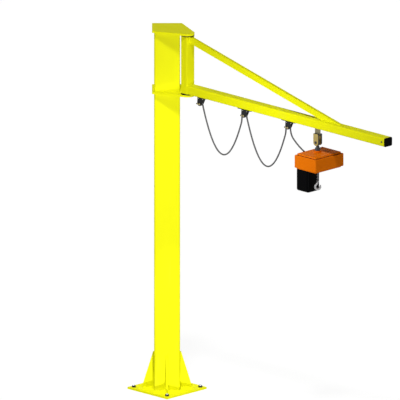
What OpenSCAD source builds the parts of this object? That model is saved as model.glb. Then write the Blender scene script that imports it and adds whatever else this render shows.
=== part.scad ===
// Column-mounted jib crane: a square column on a bolted base plate carries two
// bracket plates, and a braced hollow-rail arm swings on the pins between them.
// A chain hoist hangs from a trolley that runs inside the rail, and its power
// cable hangs in loops from sliders on the same rail.
// Units are millimetres. The origin is on the floor, on the column's axis, with
// +Z up and +X along the arm.

/* [Base plate] */
// Side of the square base plate
plate_w = 560; // [520:1:700]
// Thickness of the base plate
plate_t = 20; // [12:1:40]
// Distance between anchor bolt holes along each side
bolt_spacing = 470; // [430:1:500]
// Diameter of the anchor bolt holes
bolt_hole_d = 28; // [18:1:34]

/* [Column] */
// Side of the square column tube
column_w = 260; // [200:1:300]
// Wall of the column tube
column_wall = 8; // [5:0.5:16]
// Outer corner radius of the column tube
column_r = 18; // [17:1:30]
// Height from the floor to the top of the upper bracket
crane_h = 3755; // [3500:5:4600]
// Length of each gusset along the base plate
gusset_foot = 117; // [80:1:130]
// Height of each gusset
gusset_h = 370; // [200:5:500]
// Thickness of each gusset
gusset_t = 20; // [8:1:30]
// Height of each gusset's blunt outer end
gusset_toe = 18; // [0:1:60]
// Width of each gusset's blunt top
gusset_head = 10; // [4:1:40]

/* [Brackets and pivot] */
// Distance from the column's axis to the swing axis
pivot_reach = 291; // [285:1:380]
// Thickness of the bracket plates
bracket_t = 20; // [12:1:40]
// How far the bracket plates stand out round the column
bracket_rim = 21; // [10:1:50]
// Radius of the brackets' round nose
nose_r = 69; // [60:1:90]
// Thickness of the bearing washers
bearing_t = 10; // [4:1:20]
// Diameter of the pivot pins
pin_d = 40; // [25:1:50]
// How far each pin reaches into the post's end block
pin_grip = 50; // [30:1:70]
// Radial clearance of the pivot pins in the post
pin_clearance = 0.06; // [0.02:0.01:0.1]

/* [Arm] */
// Height of the arm's underside above the floor
arm_z = 3130; // [2600:5:3200]
// Length of the arm from the swing axis to the rail's free end
arm_reach = 2830; // [2500:1:3600]
// Width of the hollow rail and of the post
rail_w = 108; // [90:1:130]
// Height of the hollow rail
rail_h = 90; // [80:1:120]
// Wall of the hollow rail
rail_wall = 6; // [4:0.5:8]
// Thickness of the rail's two running lips
lip_t = 8; // [5:0.5:12]
// Width of the slot between the running lips
slot_w = 34; // [26:1:40]
// Outer corner radius of the rail
rail_r = 15; // [9:1:20]
// Length of the post along the arm
post_l = 86; // [60:1:110]
// Wall of the post
post_wall = 6; // [4:0.5:12]
// Depth of the tie bar, measured square to its length
tie_h = 65; // [40:1:90]
// Thickness of the tie bar
tie_t = 32; // [8:1:40]
// Distance from the swing axis to the tie's outer end on the arm
tie_reach = 2198; // [1500:1:2500]
// Distance from the rail's free end back to the end stop
stop_setback = 35; // [30:1:80]
// Diameter of the end stop's rubber sleeve
stop_d = 20; // [14:1:30]
// Thickness of the rail's end cap
cap_t = 8; // [3:0.5:14]

/* [Trolley] */
// Distance from the column's axis to the hoist trolley
trolley_x = 2130; // [1600:1:2900]
// Diameter of the trolley wheels
wheel_d = 44; // [30:1:50]
// Width of the trolley wheels
wheel_w = 16; // [10:1:18]
// Distance between the trolley's axles
wheel_base = 96; // [70:1:120]
// Diameter of the trolley axles
axle_d = 12; // [8:1:16]
// Width of the hanger plate and of the clevis cheeks
clevis_w = 68; // [50:1:90]
// Thickness of the hanger plate
hanger_t = 12; // [8:1:16]
// Drop from the arm's underside to the top of the clevis
clevis_drop = 62; // [50:1:80]
// Height of the clevis
clevis_h = 124; // [110:1:140]
// Gap between the clevis cheeks
clevis_gap = 34; // [24:1:36]
// Thickness of each clevis cheek
clevis_t = 12; // [8:1:16]
// Diameter of the clevis pin
clevis_pin_d = 18; // [12:1:20]

/* [Cable sliders] */
// Distance from the column's axis to the fixed cable clamp
clamp_x = 490; // [450:1:520]
// Distance between neighbouring cable clamps
slider_pitch = 622; // [600:1:640]
// Length of each slider plate
slider_l = 195; // [150:1:240]
// Width of each slider plate
slider_w = 52; // [40:1:80]
// Thickness of each slider plate
slider_plate_t = 8; // [4:1:10]
// Air between a running slider plate and the rail
plate_air = 5; // [5:1:8]
// Diameter of the slider wheels
slider_wheel_d = 28; // [20:1:30]
// Distance between a slider's axles
slider_base = 100; // [80:1:120]
// Radius of the saddle that carries the cable
saddle_r = 20.8; // [18:0.1:21]
// Diameter of the power cable
cable_d = 16; // [10:1:18]

/* [Hoist] */
// Length of the hoist housing along the arm
hoist_l = 305; // [260:1:360]
// Width of the hoist housing across the arm
hoist_w = 400; // [320:1:460]
// Height of the main housing
hoist_h = 130; // [110:1:180]
// Drop from the arm's underside to the housing's lower edge
hoist_drop = 402; // [396:1:430]
// Offset of the housing's middle from the chain, away from the column
hoist_shift = 19; // [0:1:30]
// Inset of the lid and of the bottom plate
lid_inset = 20; // [10:1:30]
// Height of the lid
lid_h = 17; // [8:1:25]
// Height of the bottom plate
belly_h = 13; // [6:1:20]
// Size of the chain container along the arm
bin_l = 176; // [140:1:200]
// Size of the chain container across the arm
bin_w = 170; // [120:1:220]
// Height of the chain container
bin_h = 262; // [180:1:320]
// Wall of the chain container
bin_wall = 4; // [2.5:0.5:6]
// Radius of the container's corners
bin_r = 26; // [22:1:40]
// Radius of the container's bottom edge
bin_edge = 18; // [8:1:20]
// Diameter of the chain guide under the bottom plate
guide_d = 46; // [40:1:60]
// Height of the chain guide
guide_h = 12; // [6:1:20]

/* [Hook and chain] */
// Radius of the hook's bowl at its centre line
hook_r = 25; // [20:1:32]
// Diameter of the hook's bar
hook_bar_d = 22; // [16:1:26]
// Drop from the bottom plate to the centre of the hook's bowl
hook_drop = 201; // [180:1:260]
// Turn of the hook about its swivel, in degrees
hook_turn = 45; // [0:5:180]
// Diameter of the chain wire
chain_wire_d = 5; // [4:0.5:6]
// Inside length of one chain link
chain_pitch = 15; // [13:0.5:20]

/* [Hidden] */
$fn = 96;
gap = 0.3;                                   // running gap between flat faces that slide

// Heights of the joints between column, brackets and post
bracket_w = column_w + 2*bracket_rim;
upper_bracket_z = crane_h - bracket_t;
lower_bracket_z = arm_z - bearing_t - bracket_t;
post_z0 = arm_z + gap;
post_z1 = upper_bracket_z - bearing_t - gap;
post_block = pin_grip + 20;                  // solid block at each end of the post
post_r = 6;

// Rail
rail_x0 = pivot_reach + post_l/2;
rail_x1 = pivot_reach + arm_reach;
rail_top = arm_z + rail_h;
lip_z = arm_z + lip_t;                       // running surface
inner_w = rail_w - 2*rail_wall;
inner_h = rail_h - lip_t - rail_wall;
plug_depth = 12;                             // how far the end cap reaches into the rail
plug_wall = 4;

// Tie bar: its upper edge runs from the top of the post to the arm
tie_top_z = post_z1 - 1;
tie_end_x = pivot_reach + tie_reach;
tie_slope = (tie_top_z - rail_top)/(tie_end_x - rail_x0);
tie_drop = tie_h*sqrt(1 + tie_slope*tie_slope);

// Trolley
wheel_y = (slot_w/2 + inner_w/2)/2;          // middle of the running lip
axle_z = lip_z + wheel_d/2 + gap;
clevis_top = arm_z - clevis_drop;
clevis_bottom = clevis_top - clevis_h;
clevis_crown = 17;                           // solid top of the clevis over its gap
clevis_pin_z = clevis_bottom + clevis_w/2;
eye_bar_d = clevis_gap/2;
eye_r = (clevis_pin_d + eye_bar_d + 1)/2;    // from the pin's axis to the middle of the eye's bar

// Hoist
hoist_x = trolley_x + hoist_shift;
hoist_z = arm_z - hoist_drop;
hoist_top = hoist_z + hoist_h;
lid_top = hoist_top + lid_h;
pad_top = lid_top + 20;
pad_d = 72;                                  // raised pad on the lid under the suspension
belly_z = hoist_z - belly_h;
housing_r = 12;
housing_edge = 6;
cover_r = 8;                                 // corners and edges of the lid and the bottom plate
cover_edge = 4;
boss_d = 60;                                 // collar at the foot of the eye's stem
boss_h = 25;
neck_d = 34;
stem_d = 22;                                 // between the clevis cheeks
gland_z = hoist_top - 25;
gland_d = 26;
gland_l = 30;
guide_bore = 28;
bin_x = trolley_x - 50 - bin_l/2;            // middle of the container, clear of the chain
bin_z = belly_z - bin_h;
bin_rim = 3;
bin_rim_h = 14;

// Hook
shank_d = 14;
ferrule_d = 28;
ferrule_h = 23;
ferrule_bevel = 6;
hook_z = belly_z - hook_drop;
ferrule_z0 = hook_z + 51;
ferrule_top = ferrule_z0 + ferrule_h;
neck_a = 145;                                // where the bowl passes into the straight neck
neck_len = 34;
shank_z = 34;                                // foot of the shank, inside the top of the neck
tip_r = 6;
tip_len = 19;
tip_lean = 9;
link_play = 0.2;

// Cable sliders
cable_r = cable_d/2;
slider_axle_d = 8;
slider_wheel_w = 12;
slider_axle_z = lip_z + slider_wheel_d/2 + gap;
web_l = 136;
web_t = 12;
key_h = 10;                                  // bar that keys the fixed clamp over the lips
saddle_z = arm_z - 80;
saddle_dx = -21;                             // the saddle sits on the column side of the slider's middle
cheek_t = 4;
cheek_gap = cable_d + 6;
cheek_top = 46;                              // half the cheek's width at its top, middle and foot
cheek_mid = 30;
cheek_foot = 14;
screw_d = 16;
screw_l = 34;
knob_d = 14;
knob_l = 12;

// Route of the power cable in the plane of the arm: round numbers, from the fixed
// clamp to the gland. Each loop hangs on a parabola under its two clamps.
loop_low = 2587;
loop_k = 0.0056;
loop_out = [288, 277, 265, 252, 238, 223, 207, 190, 172, 152, 130, 105, 75, 40, 0];
loop_back = [40, 75, 105, 130, 152, 172, 190, 207, 223, 238, 252, 263];
loop_start = [490, 1112, 1734];
loop_mid = 300;
over_saddle = [[-36, 3076], [-21, 3080], [-6, 3076], [5, 3066]];
up_to_saddle = [[569, 3022], [570, 3050], [575, 3067]];
last_drop = [[1743, 3048], [1748, 3016], [1759, 2983], [1778, 2954], [1806, 2928], [1838, 2903],
             [1872, 2880], [1906, 2860], [1938, 2843], [1954, 2834], [1965, 2833]];
cable_route = concat(
    [[475, 3079], [484, 3076], [495, 3066]],
    [for (o = loop_out) [loop_start[0] + loop_mid - o, loop_low + loop_k*o*o]],
    [for (o = loop_back) [loop_start[0] + loop_mid + o, loop_low + loop_k*o*o]],
    [for (q = up_to_saddle) [loop_start[0] + q[0], q[1]]],
    [for (q = over_saddle) [loop_start[1] + q[0], q[1]]],
    [for (o = loop_out) [loop_start[1] + loop_mid - o, loop_low + loop_k*o*o]],
    [for (o = loop_back) [loop_start[1] + loop_mid + o, loop_low + loop_k*o*o]],
    [for (q = up_to_saddle) [loop_start[1] + q[0], q[1]]],
    [for (q = over_saddle) [loop_start[2] + q[0], q[1]]],
    last_drop);

// ---------- shared shapes ----------

// Rectangle with round corners, from plain squares and circles
module rounded_rect(l, w, r) {
    square([l - 2*r, w], center = true);
    square([l, w - 2*r], center = true);
    for (x = [-1, 1], y = [-1, 1]) translate([x*(l/2 - r), y*(w/2 - r)]) circle(r);
}

function polar(c, r, a) = [c[0] + r*cos(a), c[1] + r*sin(a)];

// Points along an arc, both ends included
function arc(c, r, a0, a1, n) = [for (i = [0:n]) polar(c, r, a0 + (a1 - a0)*i/n)];

module column_outline() rotate(45) rounded_rect(column_w, column_w, column_r);

// Bracket plate: a square round the column, drawn out by tangents to the round nose
module bracket_plate() {
    r = 10;
    corner = (bracket_w/2 - r)*sqrt(2);
    reach = norm([pivot_reach, corner]);
    a = acos((r - nose_r)/reach) - atan2(corner, pivot_reach);
    linear_extrude(bracket_t) polygon(concat(
        arc([pivot_reach, 0], nose_r, -a, a, 48),
        arc([0, corner], r, a, 135, 8),
        arc([-corner, 0], r, 135, 225, 8),
        arc([0, -corner], r, 225, 360 - a, 8)));
}

module along_y(l) rotate([90, 0, 0]) linear_extrude(l, center = true) children();

module along_x(l) rotate([90, 0, 90]) linear_extrude(l) children();

// Block standing on z = 0 with corners of radius r, its top and bottom edges rounded to e
module soft_block(l, w, h, r, e) hull() for (a = [0:30:90]) {
    inset = e*(1 - cos(a));
    drop = e*(1 - sin(a));
    translate([0, 0, drop]) linear_extrude(h - 2*drop)
        rounded_rect(l - 2*inset, w - 2*inset, r - inset, $fn = 32);
}

// Wheel with bevelled rims and a sunk face round its hub
module wheel(d, w, hub) {
    bevel = w/8;
    half = [[hub/2, w/2], [hub/2 + bevel, w/2 - bevel], [d/2 - 3*bevel, w/2 - bevel],
            [d/2 - 2*bevel, w/2], [d/2 - bevel, w/2], [d/2, w/2 - bevel]];
    mirrored = [for (i = [len(half)-1:-1:0]) [half[i][0], -half[i][1]]];
    rotate_extrude() polygon(concat([[0, w/2]], half, mirrored, [[0, -w/2]]));
}

// Axle across the rail with a wheel over each running lip
module wheel_pair(d, w, axle) rotate([90, 0, 0]) {
    cylinder(d = axle, h = 2*wheel_y + w + 4, center = true);
    for (t = [-1, 1]) translate([0, 0, t*wheel_y]) wheel(d, w, axle + 8);
}

// Tube swept along points in the plane y = 0, closed at both ends
module swept_tube(points, r, sides) {
    n = len(points);
    dirs = [for (i = [0:n-1]) let (a = points[max(i-1, 0)], b = points[min(i+1, n-1)], d = b - a) d/norm(d)];
    rings = [for (i = [0:n-1], k = [0:sides-1]) let (a = 360*k/sides)
        [points[i][0] - dirs[i][1]*r*cos(a), r*sin(a), points[i][1] + dirs[i][0]*r*cos(a)]];
    walls = [for (i = [0:n-2], k = [0:sides-1]) let (a = i*sides, b = (i+1)*sides, m = (k+1)%sides)
        [a + k, b + k, b + m, a + m]];
    first = [for (k = [0:sides-1]) k];
    last = [for (k = [sides-1:-1:0]) (n-1)*sides + k];
    polyhedron(rings, concat([first], walls, [last]));
}

// ---------- stand ----------

module base_plate() color("gold") difference() {
    linear_extrude(plate_t) square(plate_w, center = true);
    for (x = [-1, 1], y = [-1, 1]) translate([x*bolt_spacing/2, y*bolt_spacing/2, -1])
        cylinder(d = bolt_hole_d, h = plate_t + 2);
}

module column() color("yellow") translate([0, 0, plate_t]) linear_extrude(upper_bracket_z - plate_t)
    difference() {
        column_outline();
        rotate(45) rounded_rect(column_w - 2*column_wall, column_w - 2*column_wall, column_r - column_wall);
    }

module gusset(a) color("gold") rotate(a) translate([column_w/2, 0, plate_t]) rotate([90, 0, 0])
    linear_extrude(gusset_t, center = true)
        polygon([[0, 0], [gusset_foot, 0], [gusset_foot, gusset_toe],
                 [gusset_head, gusset_h], [0, gusset_h]]);

module upper_bracket() color("yellow") translate([0, 0, upper_bracket_z]) bracket_plate();

module lower_bracket() color("yellow") translate([0, 0, lower_bracket_z]) difference() {
    bracket_plate();
    translate([0, 0, -1]) linear_extrude(bracket_t + 2) column_outline();
}

module bearing(z) color("dimgray") translate([pivot_reach, 0, z]) difference() {
    cylinder(r = nose_r - 1, h = bearing_t);
    translate([0, 0, -1]) cylinder(d = pin_d, h = bearing_t + 2);
}

module pivot_pin(z) color("silver") translate([pivot_reach, 0, z])
    cylinder(d = pin_d, h = bearing_t + pin_grip);

// ---------- jib ----------

// Hollow post with a bored block at each end for its pivot pin
module post() color("yellow") translate([pivot_reach, 0, 0]) difference() {
    translate([0, 0, post_z0]) linear_extrude(post_z1 - post_z0) rounded_rect(post_l, rail_w, post_r);
    translate([0, 0, post_z0 + post_block]) linear_extrude(post_z1 - post_z0 - 2*post_block)
        rounded_rect(post_l - 2*post_wall, rail_w - 2*post_wall, post_r/2);
    for (z = [post_z0 - 1, post_z1 - pin_grip - 2]) translate([0, 0, z])
        cylinder(d = pin_d + 2*pin_clearance, h = pin_grip + 3);
}

// Inside of the rail, in from its walls by a clearance
module rail_inside(clear) translate([0, lip_t + inner_h/2])
    rounded_rect(inner_w - 2*clear, inner_h - 2*clear, rail_r - rail_wall - clear/2);

// Hollow profile with a slot between two running lips
module rail_profile() difference() {
    translate([0, rail_h/2]) rounded_rect(rail_w, rail_h, rail_r);
    rail_inside(0);
    translate([-slot_w/2, -1]) square([slot_w, lip_t + 2]);
}

module arm_rail() color("yellow") translate([rail_x0, 0, arm_z]) along_x(rail_x1 - rail_x0) rail_profile();

module tie_bar() color("yellow") along_y(tie_t) polygon([
    [rail_x0, tie_top_z], [rail_x0, tie_top_z - tie_drop],
    [rail_x0 + (tie_top_z - tie_drop - rail_top)/tie_slope, rail_top], [tie_end_x, rail_top]]);

// Moulded cap with a hollow plug that sits inside the rail
module rail_end_cap() color("black") {
    translate([rail_x1, 0, arm_z]) along_x(cap_t) translate([0, rail_h/2])
        rounded_rect(rail_w, rail_h, rail_r);
    translate([rail_x1 - plug_depth, 0, arm_z]) along_x(plug_depth + 0.5) difference() {
        rail_inside(gap);
        rail_inside(plug_wall);
    }
}

module end_stop() color("dimgray") translate([rail_x1 - stop_setback, 0, arm_z + rail_h/2 + 2])
    rotate([90, 0, 0]) cylinder(d = stop_d, h = inner_w, center = true);

// ---------- cable sliders ----------

// Plate under the rail with a web up through the slot. A running one carries two
// axles, and the fixed one is keyed over the lips.
module slider_plate(x, runs) color("black") translate([x, 0, 0]) difference() {
    top = runs ? arm_z - plate_air : arm_z;
    web_top = runs ? slider_axle_z + 9.7 : lip_z + key_h;
    union() {
        translate([0, 0, top - slider_plate_t]) linear_extrude(slider_plate_t)
            rounded_rect(slider_l, slider_w, 8);
        translate([-web_l/2, -web_t/2, top - 1]) cube([web_l, web_t, web_top - top + 1]);
        if (!runs) translate([-web_l/2, -slot_w/2 - 6, lip_z]) cube([web_l, slot_w + 12, key_h]);
    }
    if (runs) for (s = [-1, 1]) translate([s*slider_base/2, 0, slider_axle_z]) rotate([90, 0, 0])
        cylinder(d = slider_axle_d, h = 2*web_t, center = true);
}

module slider_wheels(x) color("dimgray") for (s = [-1, 1]) translate([x + s*slider_base/2, 0, slider_axle_z])
    wheel_pair(slider_wheel_d, slider_wheel_w, slider_axle_d);

// Two cheeks and the round saddle that the cable lies over
module slider_saddle(x, runs) color("darkslategray") {
    top = (runs ? arm_z - plate_air : arm_z) - slider_plate_t;
    cx = x + saddle_dx;
    for (s = [-1, 1]) translate([0, s*(cheek_gap + cheek_t)/2, 0]) along_y(cheek_t) polygon([
        [x - cheek_top, top], [x + cheek_top, top], [cx + cheek_mid, saddle_z - 4],
        [cx + cheek_foot, saddle_z - 18], [cx - cheek_foot, saddle_z - 18], [cx - cheek_mid, saddle_z - 4]]);
    translate([cx, 0, saddle_z]) rotate([90, 0, 0]) cylinder(r = saddle_r, h = cheek_gap + 1, center = true);
}

// Clamping screw on the front cheek, with its knob towards the column
module slider_screw(x)
    translate([x + saddle_dx + screw_l/2, -(cheek_gap + screw_d)/2 - cheek_t, saddle_z + 2])
        rotate([0, -90, 0]) {
            color("goldenrod") cylinder(d = screw_d, h = screw_l);
            color("black") translate([0, 0, screw_l]) cylinder(d = knob_d, h = knob_l);
        }

module power_cable() color("gray") swept_tube(cable_route, cable_r, 10);

// ---------- trolley and hoist ----------

module trolley_hanger() color("darkkhaki") difference() {
    along_y(hanger_t) {
        translate([trolley_x, axle_z + 2]) rounded_rect(wheel_base + 34, 36, 10);
        translate([trolley_x - clevis_w/2, clevis_top]) square([clevis_w, axle_z - clevis_top]);
    }
    for (s = [-1, 1]) translate([trolley_x + s*wheel_base/2, 0, axle_z]) rotate([90, 0, 0])
        cylinder(d = axle_d, h = 2*hanger_t, center = true);
}

module trolley_wheels() color("dimgray") for (s = [-1, 1]) translate([trolley_x + s*wheel_base/2, 0, axle_z])
    wheel_pair(wheel_d, wheel_w, axle_d);

// Two cheeks under a crown, cut from one block with a round foot
module clevis() color("darkkhaki") difference() {
    along_y(clevis_gap + 2*clevis_t) {
        translate([trolley_x, clevis_pin_z]) circle(clevis_w/2);
        translate([trolley_x - clevis_w/2, clevis_pin_z]) square([clevis_w, clevis_top - clevis_pin_z]);
    }
    translate([trolley_x - clevis_w, -clevis_gap/2, clevis_bottom - 1])
        cube([2*clevis_w, clevis_gap, clevis_h + 1 - clevis_crown]);
    translate([trolley_x, 0, clevis_pin_z]) rotate([90, 0, 0])
        cylinder(d = clevis_pin_d, h = 2*clevis_gap + 2*clevis_t, center = true);
}

module clevis_pin() color("silver") translate([trolley_x, 0, clevis_pin_z]) rotate([90, 0, 0])
    cylinder(d = clevis_pin_d, h = clevis_gap + 2*clevis_t + 8, center = true);

// Eye round the clevis pin, its stem widening below the cheeks to a neck and a collar on the lid
module suspension_eye() color("darkslategray") translate([trolley_x, 0, 0]) difference() {
    neck_z = pad_top + boss_h;
    union() {
        translate([0, 0, clevis_pin_z]) rotate([90, 0, 0])
            rotate_extrude() translate([eye_r, 0]) circle(d = eye_bar_d);
        rotate_extrude() polygon([[0, pad_top], [boss_d/2, pad_top], [boss_d/2 - 3, neck_z],
            [neck_d/2, neck_z], [neck_d/2, clevis_bottom - 7], [stem_d/2, clevis_bottom - 1],
            [stem_d/2, clevis_pin_z - eye_r], [0, clevis_pin_z - eye_r]]);
    }
    translate([0, 0, clevis_pin_z]) rotate([90, 0, 0])
        cylinder(d = clevis_pin_d + 1, h = 2*clevis_gap, center = true);
}

module hoist_housing() color("darkorange") translate([hoist_x, 0, hoist_z])
    soft_block(hoist_l, hoist_w, hoist_h, housing_r, housing_edge);

// Cover with a round outer edge, flat where it meets the housing
module hoist_cover(h) intersection() {
    translate([0, 0, -cover_edge])
        soft_block(hoist_l - 2*lid_inset, hoist_w - 2*lid_inset, h + cover_edge, cover_r, cover_edge);
    translate([0, 0, h/2]) cube([hoist_l, hoist_w, h], center = true);
}

// Lid with a raised round pad under the suspension
module hoist_lid() color("darkorange") {
    translate([hoist_x, 0, hoist_top]) hoist_cover(lid_h);
    translate([trolley_x, 0, lid_top - 1]) cylinder(d = pad_d, h = pad_top - lid_top + 1);
}

module hoist_belly_plate() color("chocolate") translate([hoist_x, 0, hoist_z]) mirror([0, 0, 1])
    hoist_cover(belly_h);

// Collar under the bottom plate that the load chain runs out of
module chain_guide() color("dimgray") translate([trolley_x, 0, belly_z - guide_h]) difference() {
    cylinder(d1 = guide_d - 8, d2 = guide_d, h = guide_h);
    translate([0, 0, -1]) cylinder(d = guide_bore, h = guide_h + 2);
}

module cable_gland() color("dimgray") translate([hoist_x - hoist_l/2, 0, gland_z]) rotate([0, -90, 0]) {
    cylinder(d = gland_d + 8, h = 12, $fn = 6);
    cylinder(d = gland_d, h = gland_l);
}

// Open-topped container with round corners, a round bottom edge and a rim at its mouth
module chain_container() color("black") translate([bin_x, 0, bin_z]) difference() {
    union() {
        soft_block(bin_l, bin_w, bin_h + bin_edge, bin_r, bin_edge);
        translate([0, 0, bin_h - bin_rim_h]) linear_extrude(bin_rim_h)
            rounded_rect(bin_l + 2*bin_rim, bin_w + 2*bin_rim, bin_r + bin_rim);
    }
    translate([0, 0, bin_wall])
        soft_block(bin_l - 2*bin_wall, bin_w - 2*bin_wall, bin_h + bin_edge,
                   bin_r - bin_wall, bin_edge - bin_wall);
    translate([0, 0, bin_h + bin_edge]) cube([2*bin_l, 2*bin_w, 2*bin_edge], center = true);
}

// ---------- chain and hook ----------

module chain_link(inside) {
    half = chain_wire_d*1.2;                 // wire centre to the link's middle plane
    straight = inside/2 + chain_wire_d/2 - half;
    for (s = [0, 180]) rotate([0, s, 0]) translate([0, 0, straight]) rotate([90, 0, 0])
        rotate_extrude(angle = 180) translate([half, 0]) circle(d = chain_wire_d, $fn = 24);
    for (s = [-1, 1]) translate([s*half, 0, 0])
        cylinder(d = chain_wire_d, h = 2*straight, center = true, $fn = 24);
}

module load_chain() color("gray") {
    span = belly_z - ferrule_top - 2*chain_wire_d - 2*gap - link_play;
    n = round(span/chain_pitch);
    step = span/n;
    start = ferrule_top + gap + chain_wire_d + link_play/2;
    for (i = [0:n-1]) translate([trolley_x, 0, start + step*(i + 0.5)])
        rotate(45 + 90*(i%2)) chain_link(step + link_play);
}

module hook_ferrule() color("dimgray") translate([trolley_x, 0, ferrule_z0]) difference() {
    union() {
        cylinder(d = ferrule_d, h = ferrule_h - ferrule_bevel);
        translate([0, 0, ferrule_h - ferrule_bevel])
            cylinder(d1 = ferrule_d, d2 = ferrule_d - 10, h = ferrule_bevel);
    }
    translate([0, 0, -1]) cylinder(d = shank_d + 0.12, h = ferrule_h - 7);
}

// Round-bar hook in one plane: bowl, straight neck, shank and tapered tip. The neck
// and the tip start a little inside the bowl, and a little thinner.
module load_hook() color("silver") translate([trolley_x, 0, hook_z]) rotate(hook_turn) {
    r = hook_bar_d/2;
    rotate([90, 0, 0]) rotate(neck_a) rotate_extrude(angle = 360 - neck_a) translate([hook_r, 0]) circle(r);
    translate([hook_r*cos(neck_a), 0, hook_r*sin(neck_a)]) rotate([0, 180 - neck_a, 0]) {
        translate([0, 0, -4]) cylinder(r1 = r - 0.5, r2 = r - 3, h = neck_len + 4);
        translate([0, 0, neck_len]) sphere(r - 3);
    }
    translate([0, 0, shank_z]) cylinder(d = shank_d, h = ferrule_z0 - hook_z - shank_z + ferrule_h - 10);
    translate([hook_r, 0, -3]) rotate([0, tip_lean, 0]) {
        cylinder(r1 = r - 0.5, r2 = tip_r, h = tip_len);
        translate([0, 0, tip_len]) sphere(tip_r);
    }
}

// ---------- nodes ----------

base_plate();
column();
gusset(-45);  // gusset_front
gusset(45);  // gusset_right
gusset(135);  // gusset_back
gusset(-135);  // gusset_left
upper_bracket();
lower_bracket();
bearing(upper_bracket_z - bearing_t);  // upper_bearing
bearing(lower_bracket_z + bracket_t);  // lower_bearing
pivot_pin(upper_bracket_z - bearing_t - pin_grip);  // upper_pivot_pin
pivot_pin(lower_bracket_z + bracket_t);  // lower_pivot_pin
post();
arm_rail();
tie_bar();
rail_end_cap();
end_stop();
slider_plate(clamp_x, false);  // end_clamp_plate
slider_saddle(clamp_x, false);  // end_clamp_saddle
slider_screw(clamp_x);  // end_clamp_screw
power_cable();
slider_plate(clamp_x + slider_pitch, true);  // inner_slider_plate
slider_wheels(clamp_x + slider_pitch);  // inner_slider_wheels
slider_saddle(clamp_x + slider_pitch, true);  // inner_slider_saddle
slider_screw(clamp_x + slider_pitch);  // inner_slider_screw
slider_plate(clamp_x + 2*slider_pitch, true);  // outer_slider_plate
slider_wheels(clamp_x + 2*slider_pitch);  // outer_slider_wheels
slider_saddle(clamp_x + 2*slider_pitch, true);  // outer_slider_saddle
slider_screw(clamp_x + 2*slider_pitch);  // outer_slider_screw
trolley_hanger();
trolley_wheels();
clevis();
clevis_pin();
suspension_eye();
hoist_housing();
hoist_lid();
hoist_belly_plate();
chain_guide();
cable_gland();
chain_container();
load_chain();
hook_ferrule();
load_hook();
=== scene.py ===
"""Finish of a column-mounted jib crane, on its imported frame.

The file follows the crane as it is put together: base plate, column, brackets,
post and arm, cable sliders and cable, trolley, hoist, chain and hook. Metres,
+Z up, +X along the arm.
"""
import math
from contextlib import contextmanager

import bpy
from mathutils import Matrix, Vector


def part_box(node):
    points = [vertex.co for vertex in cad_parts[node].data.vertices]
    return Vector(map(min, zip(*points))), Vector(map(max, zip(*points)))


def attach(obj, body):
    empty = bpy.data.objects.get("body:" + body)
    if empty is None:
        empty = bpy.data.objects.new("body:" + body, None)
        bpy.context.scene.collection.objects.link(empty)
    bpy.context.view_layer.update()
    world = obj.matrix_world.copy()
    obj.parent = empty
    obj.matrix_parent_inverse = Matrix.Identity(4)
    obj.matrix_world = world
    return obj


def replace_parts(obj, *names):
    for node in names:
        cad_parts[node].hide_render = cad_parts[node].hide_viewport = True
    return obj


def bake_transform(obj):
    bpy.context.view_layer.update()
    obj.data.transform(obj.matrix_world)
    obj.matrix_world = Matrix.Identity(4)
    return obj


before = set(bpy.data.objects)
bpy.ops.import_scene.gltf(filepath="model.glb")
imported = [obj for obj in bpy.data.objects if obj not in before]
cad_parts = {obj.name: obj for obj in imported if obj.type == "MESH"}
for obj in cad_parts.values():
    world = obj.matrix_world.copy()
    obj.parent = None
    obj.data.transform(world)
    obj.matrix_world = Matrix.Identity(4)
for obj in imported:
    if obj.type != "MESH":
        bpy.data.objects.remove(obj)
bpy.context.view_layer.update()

# -------- camera
# A parallel projection from in front of the column's near face, a little above
# the horizon, wide enough for the whole crane.

VIEW_RISE = math.radians(15.5)
FRAME_WIDTH = 4.0
AIM_RIGHT = 0.329
AIM_HEIGHT = 1.96
STAND_OFF = 12


def add_to_scene(name, data):
    """A new object in the scene."""
    item = bpy.data.objects.new(name, data)
    bpy.context.scene.collection.objects.link(item)
    return item


def face_along(item, back):
    """Turns a camera or a lamp so that it looks away from a direction."""
    item.rotation_mode = "QUATERNION"
    item.rotation_quaternion = back.to_track_quat("Z", "Y")


to_right = Vector((1, 1, 0)).normalized()
to_camera = Vector((math.cos(VIEW_RISE) / math.sqrt(2), -math.cos(VIEW_RISE) / math.sqrt(2),
                    math.sin(VIEW_RISE)))
lens = bpy.data.cameras.new("camera")
lens.type = "ORTHO"
lens.ortho_scale = FRAME_WIDTH
lens.clip_end = 100
camera = add_to_scene("camera", lens)
camera.location = to_right * AIM_RIGHT + Vector((0, 0, AIM_HEIGHT)) + to_camera * STAND_OFF
face_along(camera, to_camera)
bpy.context.scene.camera = camera

# -------- base plate and anchor bolts
# A flame-cut steel plate, sprayed yellow with the rest of the stand. Four M24
# anchors with washers and nuts hold it down to the floor.

PLATE_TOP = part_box("base_plate")[1].z
ANCHOR_CORNERS = {"front": (1, -1), "right": (1, 1), "back": (-1, 1), "left": (-1, -1)}
ANCHOR_AT = 0.235
ANCHOR_D = 0.024
WASHER_D = 0.046
WASHER_BORE_R = 0.0126
WASHER_T = 0.004
WASHER_CHAMFER = 0.0008
NUT_ACROSS = 0.036
NUT_H = 0.012
STUD_ABOVE = 0.009
STUD_CHAMFER = 0.0015
THREAD_PITCH = 0.003
FLOAT, COLOUR = "NodeSocketFloat", "NodeSocketColor"


def add_node(tree, kind, inputs=None, **settings):
    """A shader node with its settings, and a value or a link for each named socket."""
    node = tree.nodes.new(kind)
    for key, value in settings.items():
        setattr(node, key, value)
    for key, value in (inputs or {}).items():
        if isinstance(value, bpy.types.NodeSocket):
            tree.links.new(value, node.inputs[key])
        else:
            node.inputs[key].default_value = value
    return node


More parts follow.
